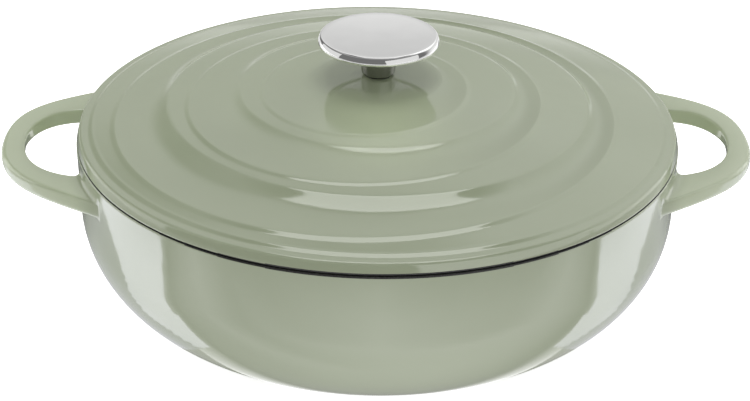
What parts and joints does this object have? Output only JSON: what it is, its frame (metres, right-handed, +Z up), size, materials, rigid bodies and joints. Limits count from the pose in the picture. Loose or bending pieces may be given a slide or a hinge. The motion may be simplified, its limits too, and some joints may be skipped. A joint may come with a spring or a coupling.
{
  "type": "saute pan",
  "caption": "Shallow enamelled cast-iron pan with two loop handles and a rippled domed lid that lifts off by a flat round steel knob.",
  "frame": {"origin": "middle of the flat base, on the surface that the pan stands on", "axes": "+X along the line through the two handles, +Y towards the back in the picture, +Z up"},
  "size_m": [0.3594, 0.2872, 0.1329],
  "materials": {
    "enamelled_iron": "glossy sage-green vitreous enamel outside, matt black enamel inside",
    "polished_steel": "mirror-polished stainless steel",
    "turned_steel": "bright turned stainless steel",
    "zinced_steel": "zinc-plated steel",
    "heatproof_rubber": "matt black silicone"
  },
  "bodies": {
    "pan": {"pan": "enamelled_iron"},
    "lid": {"lid": "enamelled_iron", "knob_gasket": "heatproof_rubber", "knob_stem": "turned_steel", "knob_underplate": "polished_steel", "knob_cap": "polished_steel", "flat_washer": "zinced_steel", "spring_washer": "zinced_steel", "knob_screw": "zinced_steel"}
  },
  "joints": [
    {"name": "lid_lift", "type": "slide", "parent": "pan", "child": "lid", "axis": [0, 0, 1], "range_m": [0, 0.15]}
  ]
}
